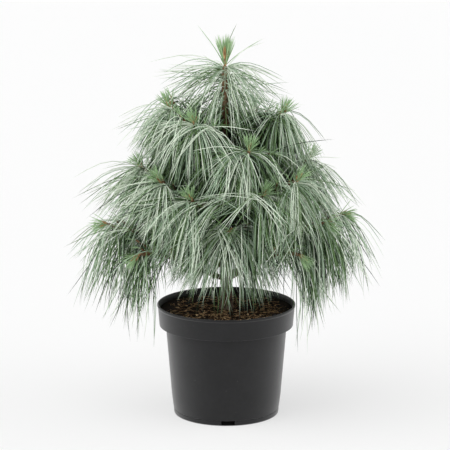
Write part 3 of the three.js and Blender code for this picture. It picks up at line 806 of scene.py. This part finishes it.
# Shoots
# The leafy ends of the boughs and the leader on top of the trunk: this and last year's growth,
# orange-brown and ringed by the small pegs that the needles stand on, with short side twigs.
LEADER_FOOT = 0.4703
LEADER_TOP = 0.571
LEADER_RINGS = 64
LEADER_HABIT = {"needle": 0.122, "hang": (5.4, 3.5), "rise": 33, "splay": 0.12, "bloom_and_painted_light": 0.37,
                "perk": 0.35, "bare": 0, "full": 1}
SHOOT_SIZES = {
    # For each kind: its radii at foot and tip, how much of it is bare, and how long its middle
    # bud and its brush of new needles are
    "leader": {"radii": (0.0056, 0.005), "bare": 0.12, "bud": 0.034, "brush": 0.051},
    "bough": {"radii": (0.0025, 0.0028), "bare": 0, "bud": 0.018, "brush": 0.032},
    "twig": {"radii": (0.0018, 0.0017), "bare": 0.3, "bud": 0.006, "brush": 0.022},
    "fine": {"radii": (0.0013, 0.0013), "bare": 0.3, "bud": 0.004, "brush": 0.018},
}
SHOOT_SIDES = 12
TIP_ROUNDING = (0.9, 0.72, 0.45)
PEG_ROW = 0.0034
PEG_COUNT = 5
PEG_HEIGHT = 0.0008
PEG_SLIMNESS = 1.6
PEG_LEAN = 1.6
FIRST_SEED = 18
SEED_STEP = 7
BRUSH_NUMBERS = 4
TWIG_COUNT = 2
TWIG_SPLAY = 52
TWIG_LENGTH = 0.052
TWIG_VARIES = 0.15
FIRST_TWIG = 0.14
TWIG_STEP = 0.22
TWIG_LIFT = 0.006
TWIG_NEEDLE = 0.92
FINE_TWIGS = [(0.27, -1, 0.03), (0.5, 1, 0.026), (0.66, -1, 0.022)]
FINE_SPLAY = 46
FINE_SPLAY_VARIES = 0.3
FINE_VARIES = 0.2
SHOOT_DARK = (0.05, 0.027, 0.015)
SHOOT_BROWN = (0.2, 0.112, 0.056)
SHOOT_PALE = (0.32, 0.235, 0.145)


def seeded_numbers(seed):
    """Numbers between 0 and 1 that follow from a seed."""
    state = seed
    while True:
        state = (state * 1664525 + 1013904223) % 4294967296
        yield state / 4294967296


def vary(value, share, number):
    """A value made up to a share greater or less by a number between 0 and 1."""
    return value * (1 + share * (2 * number - 1))


def pegs(turn, along):
    """The pegs that needles stand on: rows of them round a shoot, each row set between two."""
    row = math.floor(along / PEG_ROW)
    rise = along / PEG_ROW - row
    cell = (turn / (2 * math.pi) * PEG_COUNT + 0.5 * (row % 2)) % 1
    width = max(0, 1 - PEG_SLIMNESS * abs(2 * cell - 1))
    return PEG_HEIGHT * width * math.sin(math.pi * rise**PEG_LEAN)


def side_twig(shoot, start, splay, reach, kind):
    """A twig that leaves its shoot to one side of it and lifts a little."""
    place = int(start * (len(shoot["line"]) - 1))
    foot = shoot["line"][place]
    along = across_limb(shoot["line"])[0][place]
    turn = math.radians(splay)
    spin = np.array([
        [math.cos(turn), -math.sin(turn), 0],
        [math.sin(turn), math.cos(turn), 0],
        [0, 0, 1],
    ])
    share = np.linspace(0, 1, int(reach / RING_GAP) + 1)[:, None]
    line = foot + reach * share * (spin @ along) + TWIG_LIFT * share**2 * UP
    return {**shoot, "kind": kind, "line": line, "needle": TWIG_NEEDLE * shoot["needle"], "bare": 0}


leader_line = np.linspace(LEADER_FOOT, LEADER_TOP, LEADER_RINGS)[:, None] * UP
leader_line = leader_line + trunk_at(TRUNK_TOP) * (1, 1, 0)
shoots.append({"mass": "leader_needles", "kind": "leader", "line": leader_line, **LEADER_HABIT})
for index, shoot in enumerate(list(shoots)):
    if shoot["kind"] == "leader":
        continue
    # The rule's first numbers are for a shoot's new needles, which are drawn apart here.
    numbers = seeded_numbers(FIRST_SEED + SEED_STEP * index)
    for _ in range(BRUSH_NUMBERS):
        next(numbers)
    for i in range(TWIG_COUNT):
        reach = vary(TWIG_LENGTH, TWIG_VARIES, next(numbers))
        splay = -TWIG_SPLAY if i % 2 else TWIG_SPLAY
        shoots.append(side_twig(shoot, FIRST_TWIG + TWIG_STEP * i, splay, reach, "twig"))
    for start, side, reach in FINE_TWIGS:
        splay = side * vary(FINE_SPLAY, FINE_SPLAY_VARIES, next(numbers))
        reach = vary(reach, FINE_VARIES, next(numbers))
        shoots.append(side_twig(shoot, start, splay, reach, "fine"))

masses = sorted({shoot["mass"] for shoot in shoots})
shoot_bark = bark("shoot_bark", SHOOT_DARK, SHOOT_BROWN, SHOOT_PALE, 0.45)
for kind, size in SHOOT_SIZES.items():
    meshes = []
    for shoot in shoots:
        if shoot["kind"] == kind:
            radii = np.linspace(*size["radii"], len(shoot["line"]))
            radii[-len(TIP_ROUNDING):] *= TIP_ROUNDING
            meshes.append(limb(shoot["line"], radii, SHOOT_SIDES, pegs))
    piece_of(f"{kind}_shoots", *joined(meshes), shoot_bark, "bark", masses)

# Buds
# A cluster of slender pointed buds stands on the tip of each shoot, the middle one the longest,
# and the leader's side by side. They are wrapped in papery overlapping scales, orange-brown with
# paler edges.


def by_kind(*values):
    """A value for each kind of shoot: the leader, a bough's end, a side twig and a fine twig."""
    return dict(zip(SHOOT_SIZES, values))


BUD_SLIMNESS = by_kind(0.078, 0.14, 0.13, 0.13)
BUD_SIDES = by_kind(12, 10, 6, 6)
BUD_RINGS = by_kind(30, 24, 12, 12)
BUD_FOOT_GIRTH = 0.62
BUD_SWELL = 1.3
BUD_TAPER = 0.75
BUD_POINT = 0.02
SCALE_ROWS = 9
SCALE_SPIRALS = 2
SCALE_HEIGHT = 0.1
SIDE_BUDS = by_kind(3, 3, 2, 0)
SIDE_BUD_SIZE = by_kind(0.9, 0.68, 0.62)
SIDE_BUD_LEAN = by_kind(8, 26, 20)
BUD_LEAN_VARIES = 0.3
BUD_VARIES = 0.2
ASKEW = (0.31, 0.87, 0.38)
BUD_DARK = (0.15, 0.07, 0.032)
BUD_LIGHT = (0.58, 0.34, 0.17)
BUD_EDGE = (0.62, 0.42, 0.24)
BUD_SINK = 0.0012
BUD_SEED = 23


def bud_mesh(kind, foot, way, length):
    """One bud: it swells a little above its foot and ends in a point, in rows of raised scales."""
    share = np.linspace(0, 1, BUD_RINGS[kind])
    girth = BUD_SLIMNESS[kind] * length
    radii = girth * (BUD_FOOT_GIRTH + BUD_SWELL * share) * np.maximum(1 - share, 0) ** BUD_TAPER
    radii = radii + BUD_POINT * girth

    def scales(turn, along):
        row = SCALE_ROWS * along / length
        spiral = turn / (2 * math.pi) * SCALE_SPIRALS
        return SCALE_HEIGHT * girth * ((row + spiral) % 1) * (1 - along / length)

    return limb(foot + length * share[:, None] * way, radii, BUD_SIDES[kind], scales)


def leaning(way, lean, turn):
    """A direction that leans from another by an angle, towards a turn about it, in degrees."""
    side = unit(np.cross(way, ASKEW))
    other = np.cross(way, side)
    lean, turn = math.radians(lean), math.radians(turn)
    return math.cos(lean) * way + math.sin(lean) * (math.cos(turn) * side + math.sin(turn) * other)


bud_dice = np.random.default_rng(BUD_SEED)
bud_meshes = []
for shoot in shoots:
    kind = shoot["kind"]
    tip = shoot["line"][-1]
    way = unit(unit(tip - shoot["line"][-4]) + shoot["perk"] * UP)
    length = SHOOT_SIZES[kind]["bud"]
    bud_meshes.append(bud_mesh(kind, tip - BUD_SINK * way, way, length))
    count = SIDE_BUDS[kind]
    first_turn = bud_dice.uniform(0, 360)
    for i in range(count):
        lean = vary(SIDE_BUD_LEAN[kind], BUD_LEAN_VARIES, bud_dice.random())
        side_way = leaning(way, lean, first_turn + 360 * i / count)
        side_length = vary(SIDE_BUD_SIZE[kind] * length, BUD_VARIES, bud_dice.random())
        bud_meshes.append(bud_mesh(kind, tip - BUD_SINK * way, side_way, side_length))
bud_finish = bark("bud_scales", BUD_DARK, BUD_LIGHT, BUD_EDGE, 0.35)
piece_of("buds", *joined(bud_meshes), bud_finish, "bark", masses)

# Needles
# Long soft needles in bundles of five. They leave their shoot stiffly, bend down under their own
# weight and hang apart at their ends. A waxy bloom makes the younger ones pale and bluish. Their
# tints carry painted light as well: painted shade inside the crown, and painted highlights in the
# palest and on the low front tuft.
BUNDLE = 5
BUNDLES = by_kind(94, 78, 12, 4)
GROWTH_STEPS = 25
RING_STEPS = [1, 4, 7, 11, 15, 20]
NEEDLE_RADIUS = 0.00072
NEEDLE_TAPER = 0.5
TAPER_POWER = 3
NEEDLE_VARIES = (0.8, 1.1)
IN_BUNDLE_VARIES = (0.94, 1.03)
HANG_VARIES = 0.3
HANG_FADE = 1.8
# Needles that head right bend down more than those that head left, and a few stay stiff.
RIGHT_HANG = by_kind(0, 0.25, 0.25, 0.25)
STIFF_SHARE = by_kind(0.1, 0.03, 0.02, 0.02)
STIFF_HANG = 0.3
# Where bundles stand on a shoot, up to a gap under its buds, and how far they lean from it
TIP_GAP = by_kind(0.003, 0.0035, 0.002, 0.001)
GOLDEN_TURN = 137.508
TURN_VARIES = 10
CROWDING = 1.3
FIRST_SITE = 0.3
LEANS = (84, 56)
LEAN_VARIES = 9
# Needles wave, and those that head the same way wave alike, in locks.
NEEDLE_CURL = 2.8
WAVE_TURNS = 0.85
LOCK_CURL = 0.3
LOCK_SCALE = 1.7
LOCK_SPACING = 100
LOCK_SHIFTS = [Vector((0, 0, 0)), Vector((31.7, 5.3, 0)), Vector((0, 47.3, 8.9))]
# A direction that no needle leaves in, to find one across each of them
NEARLY_UP = UP + (1e-4, 2e-4, 0)
# Past its first steps a needle keeps off limbs, pot, soil and the tips of other masses.
FREE_STEPS = 5
LIMB_ROOM = 0.0008
TIP_ROOM = 0.019
TIP_SIGHTS = (0.008, 0.03, 0.052)
TIP_RISE = 0.35
TIP_LEAST_RISE = 0.001
POT_ROOM = 0.002
HEM_RADIUS = 0.15
SIDE_HEM_RADIUS = 0.126
HEM_TOP = 0.2
FRONT_HEM_TOP = 0.215
HOLLOW_RADIUS = 0.12
HOLLOW_TOP = 0.25
HOLLOW_SHARE = 0.44
# The full low tuft at the front, whose needles are painted paler, a painted light, and the leader's
# stem, which shows between its needles
FRONT_MASS = "lower_needles_front"
FRONT_PAINTED_LIGHT = 0.1
FRONT_ROOM = 0.036
FRONT_SHARE = 2.7
STEM_VIEW = 0.01
STEM_SHARE = 3
# A needle's bloom and painted light, from its place on the shoot and in the crown, give its tint.
# The darkest tint is a painted shade, and the palest is partly a painted highlight.
TINTS = {
    "painted_shade": (0.016, 0.036, 0.012),
    "green": (0.122, 0.212, 0.078),
    "blue": (0.352, 0.475, 0.335),
    "pale": (0.72, 0.81, 0.665),
}
TINT_EDGES = [0.19, 0.42, 0.62]
LEAFY_BLOOM = 0.3
BUNDLE_BLOOM_VARIES = 0.08
NEEDLE_BLOOM_VARIES = 0.22
INNER_PAINTED_SHADE = 0.62
CROWN_HEIGHTS = (0.2, 0.275, 0.56)
CROWN_GIRTHS = (0.03, 0.2, 0.076)
MOST_IN_PIECE = 5500
NEEDLE_SEED = 7

needle_dice = np.random.default_rng(NEEDLE_SEED)


def sites_on(line, bare, top, count, leans):
    """Where bundles leave a shoot: their feet, directions and shares of the way to the tip."""
    order = np.arange(count)
    share = top - ((order + FIRST_SITE) / count) ** CROWDING * (top - bare)
    place = share * (len(line) - 1)
    below = np.minimum(place.astype(int), len(line) - 2)
    part = (place - below)[:, None]
    feet = (1 - part) * line[below] + part * line[below + 1]
    along, across, over = [directions[below] for directions in across_limb(line)]
    leafy = (share - bare) / (top - bare)
    back, front = leans
    lean = back + (front - back) * leafy + needle_dice.normal(0, LEAN_VARIES, count)
    turn = np.radians(order * GOLDEN_TURN + needle_dice.normal(0, TURN_VARIES, count))[:, None]
    lean = np.radians(lean)[:, None]
    ways = np.cos(lean) * along + np.sin(lean) * (np.cos(turn) * across + np.sin(turn) * over)
    return feet, ways, leafy


def laid_over(ways, steepest):
    """The same directions, but those that climb are turned down, none steeper than an angle."""
    climbs = np.arcsin(ways[:, 2:])
    steepest = math.radians(steepest)
    climbs = np.where(climbs > 0, steepest * np.tanh(climbs / steepest), climbs)
    return np.concatenate([np.cos(climbs) * unit(ways[:, :2]), np.sin(climbs)], axis=1)


def hanging_lines(roots, ways, lengths, hangs, curls):
    """The middles of needles, each bending down most near its root, and waving a little."""
    lines = [roots]
    step = (lengths / GROWTH_STEPS)[:, None]
    for i in range(GROWTH_STEPS):
        share = (i + 0.5) / GROWTH_STEPS
        fall = (hangs * (1 - share) ** HANG_FADE)[:, None] * (-UP + ways[:, 2:] * ways)
        wave = math.cos(2 * math.pi * WAVE_TURNS * share) * curls
        ways = unit(ways + (fall + wave) / GROWTH_STEPS)
        lines.append(lines[-1] + step * ways)
    return np.stack(lines, axis=1)


def needle_meshes(lines, radius):
    """Closed three-sided needles on their middles, pointed at both ends."""
    count = len(lines)
    side = unit(np.cross(lines[:, 1] - lines[:, 0], NEARLY_UP))
    roll = needle_dice.uniform(0, 2 * np.pi, count)
    points = [lines[:, 0]]
    for step in RING_STEPS:
        along = unit(lines[:, step + 1] - lines[:, step - 1])
        over = np.cross(along, side)
        width = radius * (1 - NEEDLE_TAPER * (step / GROWTH_STEPS) ** TAPER_POWER)
        for corner in range(3):
            turn = (roll + 2 * np.pi * corner / 3)[:, None]
            points.append(lines[:, step] + width * (np.cos(turn) * side + np.sin(turn) * over))
    points.append(lines[:, -1])
    tip = len(points) - 1
    triangles = [(face[0], *pair) for face in ring_faces(3, tip) for pair in zip(face[1:], face[2:])]
    points = np.stack(points, axis=1).reshape(-1, 3)
    firsts = (tip + 1) * np.arange(count)
    return points, (firsts[:, None, None] + np.array(triangles)[None]).reshape(-1, 3)


limb_tree = kdtree.KDTree(len(limb_middles))
for i, middle in enumerate(limb_middles):
    limb_tree.insert(middle, i)
limb_tree.balance()

tips = [shoot for shoot in shoots if shoot["kind"] in ("leader", "bough")]
tip_tree = kdtree.KDTree(len(tips) * len(TIP_SIGHTS))
tip_masses = []
for shoot in tips:
    tip = shoot["line"][-1]
    rise = TIP_RISE * np.linalg.norm(tip[:2]) * UP
    outward = unit(tip * (1, 1, 0) + rise + TIP_LEAST_RISE * UP)
    for sight in TIP_SIGHTS:
        tip_tree.insert(tip + sight * outward, len(tip_masses))
        tip_masses.append(shoot["mass"])
tip_tree.balance()
front_tip = next(shoot["line"][-1] for shoot in tips if shoot["mass"] == FRONT_MASS)
crown_low, crown_high = [np.array(corner) for corner in cad_box]


def is_clear(line, mass, hollow_too):
    """Whether a needle keeps off limbs, pot and soil, other masses' tips and the space inside."""
    if np.any(line[-1] < crown_low) or np.any(line[-1] > crown_high):
        return False
    for point in line[FREE_STEPS:]:
        out = math.hypot(point[0], point[1])
        hem_radius = HEM_RADIUS if abs(point[0]) < RIM_RADIUS else SIDE_HEM_RADIUS
        beside_pot = point[2] < HEM_TOP and out < hem_radius
        before_pot = point[1] < -RIM_RADIUS and abs(point[0]) < RIM_RADIUS
        before_pot = before_pot and point[2] < FRONT_HEM_TOP
        over_soil = point[2] > SOIL_LEVEL + POT_ROOM and out < BAND_FOOT_RADIUS - 2 * POT_ROOM
        if (beside_pot or before_pot) and not over_soil:
            return False
        if point[2] < HOLLOW_TOP and out < HOLLOW_RADIUS and not hollow_too:
            return False
        beside_front = abs(point[0] - front_tip[0]) < FRONT_ROOM
        before_front = beside_front and point[1] < front_tip[1] + FRONT_ROOM
        if before_front and point[2] < front_tip[2] and mass != FRONT_MASS:
            return False
        index, distance = limb_tree.find(point)[1:]
        if distance < limb_widths[index] + LIMB_ROOM:
            return False
        index, distance = tip_tree.find(point)[1:]
        if distance < TIP_ROOM and tip_masses[index] != mass:
            return False
    return True


def bundles_on(shoot, count):
    """The needles of a shoot: their middles, and how near the tip each one's bundle stands."""
    bare = max(SHOOT_SIZES[shoot["kind"]]["bare"], shoot["bare"])
    top = 1 - TIP_GAP[shoot["kind"]] / (RING_GAP * len(shoot["line"]))
    feet, ways, leafy = sites_on(shoot["line"], bare, top, count, LEANS)
    ways = laid_over(ways, shoot["rise"])
    lengths = shoot["needle"] * needle_dice.uniform(*NEEDLE_VARIES, count)
    base_hang, tip_hang = shoot["hang"]
    hangs = base_hang + (tip_hang - base_hang) * leafy
    hangs = hangs * needle_dice.uniform(1 - HANG_VARIES, 1 + HANG_VARIES, count)
    hangs = hangs * (1 + RIGHT_HANG[shoot["kind"]] * ways[:, 0])
    lock = Vector(shoot["line"][-1]) * LOCK_SPACING
    spots = [lock + LOCK_SCALE * Vector(way) for way in ways]
    curls = [[noise.noise(spot + shift) for shift in LOCK_SHIFTS] for spot in spots]
    curls = LOCK_CURL * np.array(curls)
    feet, ways, leafy, lengths, hangs, curls = [
        np.repeat(values, BUNDLE, axis=0) for values in (feet, ways, leafy, lengths, hangs, curls)]
    total = len(feet)
    hangs = np.where(needle_dice.random(total) < STIFF_SHARE[shoot["kind"]], STIFF_HANG, 1) * hangs
    splay = needle_dice.normal(0, 1, (total, 3))
    ways = unit(ways + shoot["splay"] * splay)
    curls = curls + NEEDLE_CURL * shoot["splay"] * splay
    lengths = lengths * needle_dice.uniform(*IN_BUNDLE_VARIES, total)
    return hanging_lines(feet, ways, lengths, hangs, curls), leafy


def tint_numbers(shoot, leafy, lines):
    """Which tint each needle takes: paler towards the tip of its shoot, and darker inside the crown,
    a painted shade.
    """
    middles = lines[:, GROWTH_STEPS // 2]
    girths = np.interp(middles[:, 2], CROWN_HEIGHTS, CROWN_GIRTHS)
    inner = np.clip(1 - np.linalg.norm(middles[:, :2], axis=1) / girths, 0, 1)
    bloom_and_painted_light = shoot["bloom_and_painted_light"] + LEAFY_BLOOM * leafy + FRONT_PAINTED_LIGHT * (shoot["mass"] == FRONT_MASS)
    # Inside the crown the needles' tint is darkened, a painted shade; the front tuft and the leader
    # are left out of it.
    if shoot["mass"] not in (FRONT_MASS, "leader_needles"):
        bloom_and_painted_light = bloom_and_painted_light - INNER_PAINTED_SHADE * inner
    of_bundles = needle_dice.normal(0, BUNDLE_BLOOM_VARIES, len(leafy) // BUNDLE)
    bloom_and_painted_light = bloom_and_painted_light + np.repeat(of_bundles, BUNDLE)
    bloom_and_painted_light = bloom_and_painted_light + needle_dice.normal(0, NEEDLE_BLOOM_VARIES, len(leafy))
    return np.digitize(bloom_and_painted_light, TINT_EDGES)


grown, tinted = [], []
for shoot in shoots:
    mass = shoot["mass"]
    full = shoot["full"] * (FRONT_SHARE if mass == FRONT_MASS else 1)
    lines, leafy = bundles_on(shoot, int(full * BUNDLES[shoot["kind"]] * (1 - shoot["bare"])))
    hollow_too = needle_dice.random(len(lines)) < HOLLOW_SHARE
    hollow_too |= mass == FRONT_MASS
    kept = np.array([is_clear(line, mass, inner) for line, inner in zip(lines, hollow_too)])
    if shoot["kind"] == "leader":
        middles = lines[:, GROWTH_STEPS // 2]
        before_stem = (middles[:, 1] < 0) & (abs(middles[:, 0] - leader_line[0, 0]) < STEM_VIEW)
        kept &= ~before_stem | (np.arange(len(lines)) % STEM_SHARE == 0)
    grown.append(lines[kept])
    tinted.append(tint_numbers(shoot, leafy, lines)[kept])
grown = np.concatenate(grown)
tinted = np.concatenate(tinted)
for number, (tint, colour) in enumerate(TINTS.items()):
    of_tint = grown[tinted == number]
    finish = Finish(f"{tint}_needles", {
        "Base Color": colour, "Roughness": 0.45, "Specular IOR Level": 0.3})
    for part, first in enumerate(range(0, len(of_tint), MOST_IN_PIECE)):
        mesh = needle_meshes(of_tint[first:first + MOST_IN_PIECE], NEEDLE_RADIUS)
        piece_of(f"{tint}_needles_{part + 1}", *mesh, finish, "needles", masses)

# New needles
# Round the buds a short brush of this spring's needles, not yet grown out and still a clear fresh
# green. It is upright on all but the low whorls, and open before the leader's buds, where two
# full-grown needles stand out straight.
NEW_NEEDLES = by_kind(84, 30, 4, 2)
NEW_VARIES = (0.86, 1.06)
NEW_LEAFY = 0.006
BUD_VIEW = 0.11
NEW_LEANS = by_kind((18, 12), (38, 19), (38, 19), (38, 19))
NEW_HANG = 0.6
NEW_CURL = 0.15
NEW_RADIUS = 0.0007
FRESH_GREEN = (0.37, 0.55, 0.29)
STRAYS = [
    {"turn": 180, "climb": 63, "length": 0.079},
    {"turn": 0, "climb": 46, "length": 0.076},
]
STRAY_HANG = 0.9
STRAY_CURL = 0.3

new_lines = []
for shoot in shoots:
    count = NEW_NEEDLES[shoot["kind"]]
    end = shoot["line"][-int(NEW_LEAFY / RING_GAP):]
    feet, ways, leafy = sites_on(end, 0, 1, count, NEW_LEANS[shoot["kind"]])
    ways = unit(ways + shoot["perk"] * UP)
    lengths = SHOOT_SIZES[shoot["kind"]]["brush"] * needle_dice.uniform(*NEW_VARIES, count)
    curls = needle_dice.normal(0, NEW_CURL, (count, 3))
    lines = hanging_lines(feet, ways, lengths, np.full(count, NEW_HANG), curls)
    if shoot["kind"] == "leader":
        lines = lines[(ways[:, 1] > 0) | (abs(ways[:, 0]) > BUD_VIEW)]
    new_lines.append(lines)
for stray in STRAYS:
    way = heading(stray["turn"], stray["climb"])[None]
    length, hang = np.array([stray["length"]]), np.array([STRAY_HANG])
    new_lines.append(hanging_lines(leader_line[-1:], way, length, hang, STRAY_CURL * UP[None]))
fresh = Finish("fresh_needles", {
    "Base Color": FRESH_GREEN, "Roughness": 0.4, "Specular IOR Level": 0.4})
mesh = needle_meshes(np.concatenate(new_lines), NEW_RADIUS)
piece_of("fresh_needles", *mesh, fresh, "needles", masses)
